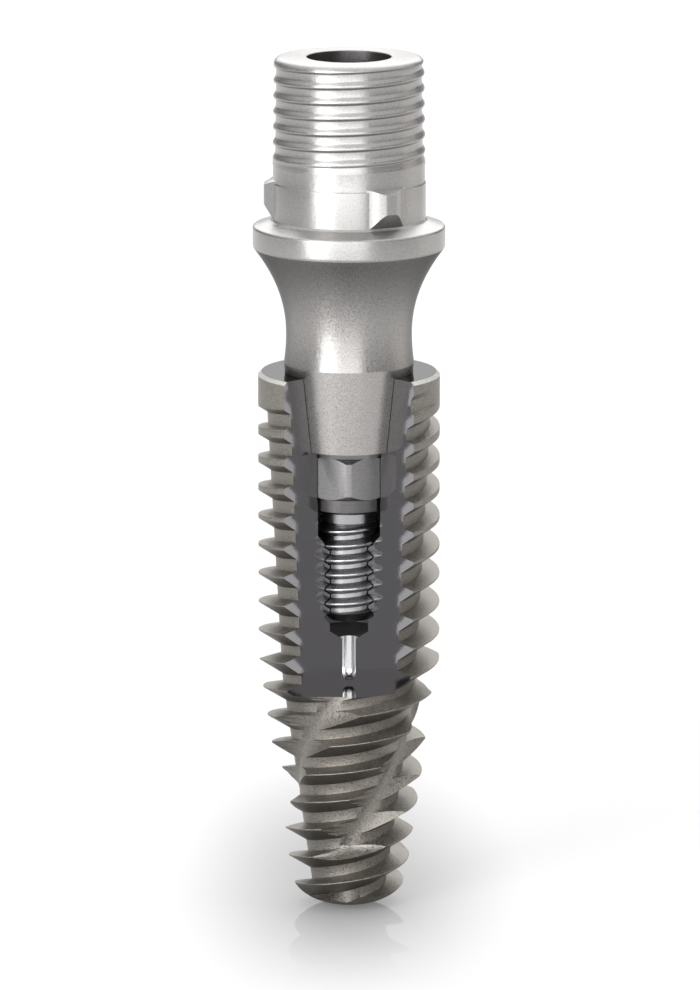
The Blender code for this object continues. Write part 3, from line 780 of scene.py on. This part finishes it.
    def window(self) -> Object:
        """Makes the wedge that opens the front of the implant.

        Returns:
            The closed tool.
        """
        far = 3.0 * self.radius
        left = around(-self.window_half_angle, far, 0.0)
        outline = [Vector((0.0, 0.0, 0.0)), left, Vector((left.x, -far, 0.0)),
                   Vector((-left.x, -far, 0.0)), Vector((-left.x, left.y, 0.0))]
        return prism("window", outline, -self.window_depth, OVERSHOOT)

    def build(self) -> Object:
        """Makes the implant's mesh.

        Returns:
            The piece, with no finish yet.
        """
        thread = Thread(self.pitch, 2, self.first_crest, self.columns, self.ridge, twist=0.5)
        body = thread.body("implant_threaded", OVERSHOOT, -self.length - OVERSHOOT)
        combine(body, Cut.KEEP_COMMON, self.limits())
        combine(body, Cut.REMOVE, self.bore())
        flats = self.seat.hex_flats + 2.0 * self.seat.hex_clearance
        floor = -self.seat.hex_end - self.seat.hex_gap
        combine(body, Cut.REMOVE, prism("hex_socket", hexagon(flats), floor, -self.seat.depth / 2.0))
        combine(body, Cut.REMOVE, self.tap())
        for number in range(self.flutes):
            combine(body, Cut.REMOVE, self.flute(number))
        combine(body, Cut.REMOVE, self.window())
        return body

    def finish_of(self, face: MeshPolygon) -> Finish:
        """Tells a face's finish from where it lies.

        Args:
            face: A face of the piece.

        Returns:
            Its finish.
        """
        middle, facing = face.center / MM, face.normal
        reach = math.hypot(middle.x, middle.y)
        for sign in (-1.0, 1.0):
            side = around(sign * self.window_half_angle + math.pi / 2, 1.0, 0.0)
            if abs(middle.dot(side)) < NEAR and abs(facing.dot(side)) > FACING:
                return CUT_FACE
        if abs(middle.z + self.window_depth) < NEAR and facing.z > FACING:
            return WINDOW_FLOOR
        # The pilot hole's painted highlight
        if reach < self.pilot_hole[0] + self.region_margin and middle.z < -self.drill_end:
            return PILOT_WALL
        if middle.z > -self.platform_margin:
            return PLATFORM
        bevel = self.platform_bevel + self.region_margin
        # The bevel's painted highlight
        if reach > self.radius - bevel and middle.z > -bevel and facing.z > self.bevel_facing:
            return BEVEL
        return BORE_WALL if reach < self.inner_reach and middle.z > -self.window_depth else BLASTED

    def dress(self, piece: Object, finishes: dict[Finish, Material]) -> None:
        """Gives the implant's mesh its finishes and its place in the frame.

        Args:
            piece: The mesh.
            finishes: The materials by finish.
        """
        palette = (BLASTED, CUT_FACE, BORE_WALL, PILOT_WALL, PLATFORM, BEVEL, WINDOW_FLOOR)
        paint(piece, self.finish_of, palette, finishes)
        smooth(piece, self.sharp_above)
        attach(piece, "implant")
        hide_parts("implant_body")


@dataclass
class TitaniumBase:
    """The titanium base: chimney, index lugs, flange, cuff, cone, hexagon and screw channel."""

    seat: Seat
    chimney_top: float = 7.50
    chimney_radii: tuple[Pair, Pair] = ((-7.5, 1.77), (-4.95, 1.80))
    chimney_foot: float = 4.95
    chimney_edge: float = 0.17
    edge_steps: int = 6
    spigot_rim: float = 0.10
    spiral_pitch: float = 0.367
    spiral_phase: float = 7.395
    spiral_groove: float = 0.062
    spiral_span: Pair = (7.42, 5.02)
    spiral_fade: float = 0.24
    spiral_ridge: tuple[float, float, float, float] = (0.130, 0.030, -0.028, -0.060)
    spiral_foot_run: float = 0.06
    spiral_rounding: float = 0.035
    plain_band: Pair = (4.97, 1.79)
    index_band: Triple = (4.555, 1.81, 3.68)
    band_chamfer: float = 0.02
    band_rounding: float = 0.01
    lug_count: int = 3
    lug_azimuth: float = math.radians(30.0)
    lug_radius: float = 2.01
    lug_top: float = 4.49
    lug_top_drop: float = 0.11
    lug_face_foot: float = 4.02
    lug_half_angle: float = math.radians(2.5)
    lug_fillet_angle: float = math.radians(14.5)
    lug_sink: float = 0.015
    lug_steps: int = 12
    lug_gap_steps: int = 9
    lug_margin: float = 0.1
    flange_fillet: Pair = (0.045, 0.055)
    flange_rounding: float = 0.02
    flange_radius: float = 2.27
    flange_top: float = 3.46
    flange_rim_top: float = 3.50
    flange_rim_width: float = 0.03
    flange_foot: float = 2.98
    flange_edge: float = 0.05
    cuff_waist: Pair = (0.90, 1.487)
    cuff_flare: float = 2.1
    cuff_lip: Pair = (0.22, 1.54)
    cuff_steps: int = 28
    lip_steps: int = 8
    neck_radius: float = 1.06
    pilot_radius: float = 0.98
    end_depth: float = 3.30
    end_chamfer: float = 0.06
    channel_radius: float = 1.0
    channel_chamfer: float = 0.012
    screw_seat: float = 0.30
    screw_hole: float = 0.85
    columns: int = 144
    bore_columns: int = 96
    sharp_above: float = 28.0
    region_margin: float = 0.001

    def ridge(self, height: float) -> Profile:
        """Shapes the chimney's retention ridge at a height.

        Args:
            height: Height of the ridge's middle.

        Returns:
            (rise, radius) corners from the top down.
        """
        top, end = self.spiral_span
        crest = along(-height, *self.chimney_radii)
        upper_foot, upper_crest, lower_crest, lower_foot = self.spiral_ridge

        def groove(rise: float) -> Pair:
            """Places a corner of the groove, as deep as it has grown there."""
            level = height + rise
            grown = blend(level, end, end + self.spiral_fade)
            grown *= blend(-level, -top, -top + self.spiral_fade / 3.0)
            return rise, crest - self.spiral_groove * grown

        corners = [groove(upper_foot + self.spiral_foot_run), groove(upper_foot), (upper_crest, crest),
                   (lower_crest, crest), groove(lower_foot), groove(lower_foot - self.spiral_foot_run)]
        return softened(corners, self.spiral_rounding, 3)[1:-1]

    def chimney(self) -> Object:
        """Makes the chimney alone, with a spigot into the band below.

        Returns:
            The closed body.
        """
        thread = Thread(self.spiral_pitch, 1, self.spiral_phase, self.columns, self.ridge, twist=0.3)
        body = thread.body("chimney", self.chimney_top + OVERSHOOT, self.chimney_foot - OVERSHOOT)
        top, foot, edge, steps = self.chimney_top, self.chimney_foot, self.chimney_edge, self.edge_steps
        (_, top_radius), (_, foot_radius) = self.chimney_radii
        profile = [(0.0, top)]
        for i in range(steps + 1):
            turn = math.pi / 2 * i / steps
            profile.append((top_radius - edge * (1.0 - math.sin(turn)), top - edge * (1.0 - math.cos(turn))))
        outside, spigot = foot_radius + OVERSHOOT / 2.0, self.plain_band[1] - self.spigot_rim
        profile += [(outside, top - 2.0 * edge), (outside, foot), (spigot, foot),
                    (spigot, foot - self.spigot_rim), (0.0, foot - self.spigot_rim)]
        combine(body, Cut.KEEP_COMMON, lathe("chimney_limits", profile, self.columns, twist=0.7))
        return body

    def lugs(self) -> Object:
        """Makes the index lugs on one disc inside the band.

        Returns:
            The closed body.
        """
        _, band, band_foot = self.index_band
        inside, sunk, reach = band - self.spigot_rim, band - self.lug_sink, self.lug_radius
        outline: list[Vector] = []
        foot = self.lug_half_angle + self.lug_fillet_angle
        gap, steps = math.tau / self.lug_count - 2.0 * foot, self.lug_gap_steps
        for lug in range(self.lug_count):
            middle = self.lug_azimuth + math.tau * lug / self.lug_count
            for side in (-1.0, 1.0):
                flank = [around(middle + side * foot, inside, 0.0)]
                for i in range(self.lug_steps + 1):
                    share = i / self.lug_steps
                    azimuth = middle + side * (foot - self.lug_fillet_angle * share)
                    radius = sunk + (reach - sunk) * blend(share, 0.0, 1.0)
                    flank.append(around(azimuth, radius, 0.0))
                outline += flank if side < 0.0 else reversed(flank)
            outline += [around(middle + foot + gap * i / steps, inside, 0.0) for i in range(1, steps)]
        margin = self.lug_margin
        body = prism("lugs", outline, band_foot, self.lug_top + 2.0 * margin)
        rim, inner = reach + margin, inside - margin
        steep = (self.lug_face_foot - band_foot) / (reach - band)
        low = self.lug_face_foot - (reach - inner) * steep
        slope = self.lug_top_drop / (reach - band)
        crown = self.lug_top + (reach - inner) * slope
        profile = [(0.0, crown), (inner, crown), (rim, self.lug_top - margin * slope),
                   (rim, self.lug_face_foot + margin * steep), (inner, low), (0.0, low)]
        combine(body, Cut.KEEP_COMMON, lathe("lug_limits", profile, self.columns, twist=0.4))
        return body

    def hex_key(self) -> Object:
        """Makes the hexagon with its chamfered corners.

        Returns:
            The closed body.
        """
        seat, chamfer = self.seat, self.seat.hex_chamfer
        top, end = -seat.hex_top, -seat.hex_end
        barrel = seat.hex_flats / 2.0 / math.cos(math.pi / 6.0) - seat.hex_corner_cut
        key = prism("hex_key", hexagon(seat.hex_flats), end, top)
        combine(key, Cut.KEEP_COMMON, lathe("hex_limits", [
            (0.0, top + OVERSHOOT), (barrel - chamfer, top + OVERSHOOT), (barrel - chamfer, top),
            (barrel, top - chamfer), (barrel, end + chamfer), (barrel - chamfer, end),
            (barrel - chamfer, end - OVERSHOOT), (0.0, end - OVERSHOOT)], self.bore_columns, twist=0.3))
        return key

    def outline(self) -> Profile:
        """Draws the turned outline from the plain band down to the pilot.

        Returns:
            Its (radius, height) corners.
        """
        seat = self.seat
        band_top, band, band_foot = self.index_band
        plain_top, plain = self.plain_band
        rim, fillet = self.flange_radius, self.flange_fillet
        foot, edge = self.flange_foot, self.flange_edge
        upper = [(plain, plain_top), (plain, band_top), (band, band_top - self.band_chamfer),
                 (band, band_foot)]
        flange = [(band, band_foot), (band + fillet[0], band_foot - fillet[1]),
                  (rim - self.flange_rim_width, self.flange_rim_top), (rim, self.flange_top),
                  (rim, foot + edge), (rim - edge / 3.0, foot)]
        profile = [(0.0, plain_top)] + softened(upper, self.band_rounding, 2)[:-1]
        profile += softened(flange, self.flange_rounding, 3)
        waist, waist_radius = self.cuff_waist
        lip, lip_radius = self.cuff_lip
        reach, flare = foot - edge - waist, rim - edge - waist_radius
        for i in range(self.cuff_steps + 1):
            share = 1.0 - i / self.cuff_steps
            profile.append((waist_radius + flare * share ** self.cuff_flare, waist + reach * share))
        for i in range(1, self.lip_steps + 1):
            share = i / self.lip_steps
            profile.append((waist_radius + (lip_radius - waist_radius) * share ** 2,
                            waist - (waist - lip) * share))
        pilot, end, chamfer = self.pilot_radius, -self.end_depth, self.end_chamfer
        profile += [(seat.radius, 0.0), (seat.radius - seat.depth * seat.slope, -seat.depth),
                    (self.neck_radius, -seat.depth), (pilot, -seat.hex_top - seat.hex_chamfer),
                    (pilot, end + chamfer), (pilot - chamfer, end), (0.0, end)]
        return profile

    def build(self) -> Object:
        """Makes the base's mesh.

        Returns:
            The piece, with no finish yet.
        """
        body = lathe("ti_base_turned", self.outline(), self.columns)
        for part in (self.hex_key(), self.chimney(), self.lugs()):
            combine(body, Cut.ADD, part)
        above, below = self.chimney_top + OVERSHOOT, -self.end_depth - OVERSHOOT
        channel, chamfer = self.channel_radius, self.channel_chamfer
        combine(body, Cut.REMOVE, lathe("channel", [
            (0.0, above), (channel + OVERSHOOT + chamfer, above), (channel, self.chimney_top - chamfer),
            (channel, -self.screw_seat), (self.screw_hole, -self.screw_seat), (self.screw_hole, below),
            (0.0, below)], self.bore_columns, twist=0.45))
        return body

    def finish_of(self, face: MeshPolygon) -> Finish:
        """Tells a face's finish from where it lies.

        Args:
            face: A face of the piece.

        Returns:
            Its finish.
        """
        middle, margin = face.center / MM, self.region_margin
        # The base's end below the hexagon takes painted shade
        if middle.z < -self.seat.hex_end + margin:
            return BASE_END_PAINTED_SHADE
        reach = math.hypot(middle.x, middle.y)
        # Milled hexagon and channel, darkened with painted shade
        if reach < self.channel_radius + margin or middle.z < -self.seat.depth - margin:
            return MILLED_PAINTED_SHADE
        if middle.z < self.cuff_lip[0]:
            return GROUND
        # The lighter copy above the flange's foot is painted light
        return TURNED_PAINTED_LIGHT if middle.z > self.flange_foot else TURNED

    def dress(self, piece: Object, finishes: dict[Finish, Material]) -> None:
        """Gives the base's mesh its finishes and its place in the frame.

        Args:
            piece: The mesh.
            finishes: The materials by finish.
        """
        paint(piece, self.finish_of, (TURNED, MILLED_PAINTED_SHADE, GROUND, BASE_END_PAINTED_SHADE, TURNED_PAINTED_LIGHT), finishes)
        smooth(piece, self.sharp_above)
        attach(piece, "base")
        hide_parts("ti_base")


@dataclass
class AbutmentScrew:
    """The abutment screw: head with its driver socket, shank and M1.6 thread."""

    screw: ScrewThread
    seat: float = -0.29
    head_radius: float = 0.95
    head_height: float = 1.70
    head_bevel: float = 0.08
    driver_flats: float = 1.25
    driver_depth: float = 1.10
    shank: float = 0.68
    thread_top: float = -3.58
    end: float = -5.98
    end_chamfer: float = 0.16
    rounding: float = 0.02
    columns: int = 96
    sharp_above: float = 32.0

    def build(self) -> Object:
        """Makes the screw's mesh.

        Returns:
            The piece, with no finish yet.
        """
        top, heart = self.seat + self.head_height, self.screw.root - self.end_chamfer
        head, shank, pitch = self.head_radius, self.shank, self.screw.pitch
        foot = self.thread_top - shank + heart
        corners = [(0.0, top), (head - self.head_bevel, top), (head, top - self.head_bevel),
                   (head, self.seat), (shank, self.seat), (shank, self.thread_top), (heart, foot),
                   (0.0, foot)]
        profile = softened(corners, self.rounding, 2)
        body = lathe("abutment_screw_turned", profile, self.columns, twist=0.3)
        thread = self.screw.thread(0.0, self.columns, twist=0.1)
        thread = thread.body("screw_thread", self.thread_top + pitch, self.end - pitch)
        outside = self.screw.radius + self.end_chamfer
        rise, start = outside - heart, self.thread_top + shank - heart
        combine(thread, Cut.KEEP_COMMON, lathe("thread_limits", [
            (0.0, start), (heart, start), (outside, start - rise), (outside, self.end + rise),
            (heart, self.end), (0.0, self.end)], self.columns, twist=0.6))
        combine(body, Cut.ADD, thread)
        driver = hexagon(self.driver_flats)
        combine(body, Cut.REMOVE, prism("driver", driver, top - self.driver_depth, top + OVERSHOOT))
        return body

    def dress(self, piece: Object, finishes: dict[Finish, Material]) -> None:
        """Gives the screw's mesh its finish and its place in the frame.

        Args:
            piece: The mesh.
            finishes: The materials by finish.
        """
        paint(piece, lambda face: SCREW_METAL, (SCREW_METAL,), finishes)
        smooth(piece, self.sharp_above)
        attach(piece, "screw")
        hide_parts("abutment_screw")


@dataclass(frozen=True)
class Lamp:
    """One soft light: where it stands and what it faces, its size and its brightness."""

    name: str
    place: Triple
    aim: Triple
    width: float
    height: float
    brightness: float
    colour: Triple = (1.0, 1.0, 1.0)

    def build(self) -> None:
        """Puts the light up, unseen by the camera itself."""
        data = bpy.data.lights.new(self.name, 'AREA')
        data.shape = 'RECTANGLE'
        data.size, data.size_y = self.width, self.height
        data.energy = self.brightness * math.pi * self.width * self.height
        data.color = self.colour
        lamp = bpy.data.objects.new(self.name, data)
        lamp.location = self.place
        lamp.rotation_euler = (Vector(self.aim) - lamp.location).to_track_quat('-Z', 'Y').to_euler()
        lamp.visible_camera = False
        bpy.context.scene.collection.objects.link(lamp)


@dataclass
class Studio:
    """The pale floor, the soft lights, the surroundings and the camera."""

    floor_height: float = -0.01294
    floor_size: float = 4.0
    floor_white: float = 0.5
    floor_glow: float = 0.34
    floor_gloss: float = 0.40
    floor_gloss_reach: float = 0.9
    floor_roughness: float = 0.025
    # Centre, reach and darkness of the shadow painted on the floor round the implant's foot
    painted_shadow_centre: Triple = (-0.00012, 0.003, 0.0)
    painted_shadow_reach: Triple = (0.0046, 0.014, 1.0)
    painted_shadow_level: float = 0.45
    camera_place: Triple = (0.000024, -0.190, 0.0356)
    camera_aim: Triple = (0.000024, 0.0, -0.0030)
    lens: float = 297.3
    sensor: float = 36.0
    clip: Pair = (0.01, 20.0)
    lamps: tuple[Lamp, ...] = (
        Lamp("overhead", (0.0, 0.05, 0.20), (0.0, 0.02, 0.0), 0.20, 0.20, 0.5),
        Lamp("left_strip", (-0.092, -0.118, 0.040), (0.0, 0.0, 0.0), 0.070, 0.100, 7.0),
        Lamp("front_panel", (0.0, -0.25, 0.058), (0.0, 0.0, 0.0), 0.22, 0.14, 3.0),
        Lamp("right_panel", (0.185, 0.060, 0.030), (0.0, 0.0, 0.0), 0.12, 0.08, 0.5, (1.0, 0.92, 0.84)),
        Lamp("back_panel", (0.0, 0.205, 0.143), (0.0, 0.0, 0.0), 0.24, 0.25, 1.7),
    )
    world_levels: Pair = (0.10, 1.0)
    world_rise: Pair = (0.15, 0.65)

    def floor(self) -> None:
        """Lays the floor, which is white in the picture and keeps the object's shadow, and paints a soft
        shadow round the implant's foot.
        """
        half = self.floor_size / 2.0
        corners = ((-half, -half), (half, -half), (half, half), (-half, half))
        mesh = bpy.data.meshes.new("floor")
        mesh.from_pydata([(x, y, self.floor_height) for x, y in corners], [], [(0, 1, 2, 3)])
        floor = bpy.data.objects.new("floor", mesh)
        bpy.context.scene.collection.objects.link(floor)
        material = bpy.data.materials.new("pale_floor")
        material.use_nodes = True
        tree = material.node_tree
        nodes = Nodes(tree)
        shader = tree.nodes['Principled BSDF']
        shader.inputs['Roughness'].default_value = 1.0
        shader.inputs['Specular IOR Level'].default_value = 0.0
        shader.inputs['Coat Roughness'].default_value = self.floor_roughness
        place = nodes.add('ShaderNodeTexCoord').outputs['Object']
        # Painted shadow: the floor's colour and glow are darkened in a soft ellipse round the implant's foot
        spread = nodes.add('ShaderNodeVectorMath', {0: place, 1: self.painted_shadow_centre}, operation='SUBTRACT')
        shares = [1.0 / reach for reach in self.painted_shadow_reach]
        scaled = nodes.add('ShaderNodeVectorMath', {0: spread.outputs[0], 1: shares}, operation='MULTIPLY')
        length = nodes.add('ShaderNodeVectorMath', {0: scaled.outputs[0]}, operation='LENGTH')
        away = length.outputs['Value']
        light = nodes.ramp(away, 0.0, 1.0, self.painted_shadow_level, 1.0)
        white = nodes.add('ShaderNodeVectorMath', {0: (self.floor_white,) * 3, 'Scale': light},
                          operation='SCALE')
        tree.links.new(white.outputs[0], shader.inputs['Base Color'])
        gloss = nodes.ramp(away, 0.0, self.floor_gloss_reach, self.floor_gloss, 0.0)
        tree.links.new(gloss, shader.inputs['Coat Weight'])
        paths = nodes.add('ShaderNodeLightPath').outputs
        seen = nodes.math('MAXIMUM', nodes.math('MAXIMUM', paths['Is Camera Ray'], paths['Is Glossy Ray']),
                          paths['Is Transmission Ray'])
        shader.inputs['Emission Color'].default_value = (1.0, 1.0, 1.0, 1.0)
        glow = nodes.math('MULTIPLY', seen, self.floor_glow)
        tree.links.new(nodes.math('MULTIPLY', glow, light), shader.inputs['Emission Strength'])
        mesh.materials.append(material)

    def surroundings(self) -> None:
        """Sets the even light that comes from all round."""
        world = bpy.data.worlds.new("studio")
        bpy.context.scene.world = world
        world.use_nodes = True
        background = world.node_tree.nodes['Background']
        background.inputs['Color'].default_value = (1.0, 1.0, 1.0, 1.0)
        nodes = Nodes(world.node_tree)
        toward = nodes.add('ShaderNodeTexCoord').outputs['Generated']
        rise = nodes.add('ShaderNodeSeparateXYZ', {0: toward}).outputs['Z']
        level = nodes.ramp(rise, *self.world_rise, *self.world_levels)
        world.node_tree.links.new(level, background.inputs['Strength'])

    def camera(self) -> None:
        """Sets the camera at the photograph's angle."""
        data = bpy.data.cameras.new("camera")
        data.lens = self.lens
        data.sensor_width = self.sensor
        data.clip_start, data.clip_end = self.clip
        camera = bpy.data.objects.new("camera", data)
        camera.location = self.camera_place
        look = Vector(self.camera_aim) - camera.location
        camera.rotation_euler = look.to_track_quat('-Z', 'Y').to_euler()
        bpy.context.scene.collection.objects.link(camera)
        bpy.context.scene.camera = camera

    def build(self) -> None:
        """Sets up the whole studio."""
        bpy.context.scene.view_settings.view_transform = 'Standard'
        self.floor()
        self.surroundings()
        self.camera()
        for lamp in self.lamps:
            lamp.build()


def main() -> None:
    """Builds the studio and the three pieces."""
    logging.basicConfig(level=logging.INFO, format="%(message)s")
    Studio().build()
    groups = {"grain": grain_group(), "rings": turning_group(), "facing": painted_shade_group()}
    finishes = {finish: finish.material(groups)
                for finish in (BLASTED, TURNED, TURNED_PAINTED_LIGHT, GROUND, CUT_FACE, WINDOW_FLOOR, PLATFORM,
                               BEVEL, BORE_WALL, MILLED_PAINTED_SHADE, BASE_END_PAINTED_SHADE, PILOT_WALL, SCREW_METAL)}
    seat, screw = Seat(), ScrewThread()
    for maker in (Implant(seat, screw), TitaniumBase(seat), AbutmentScrew(screw)):
        piece = maker.build()
        maker.dress(piece, finishes)
        LOG.info("%s: %d faces", piece.name, len(piece.data.polygons))


if __name__ == "__main__":
    main()
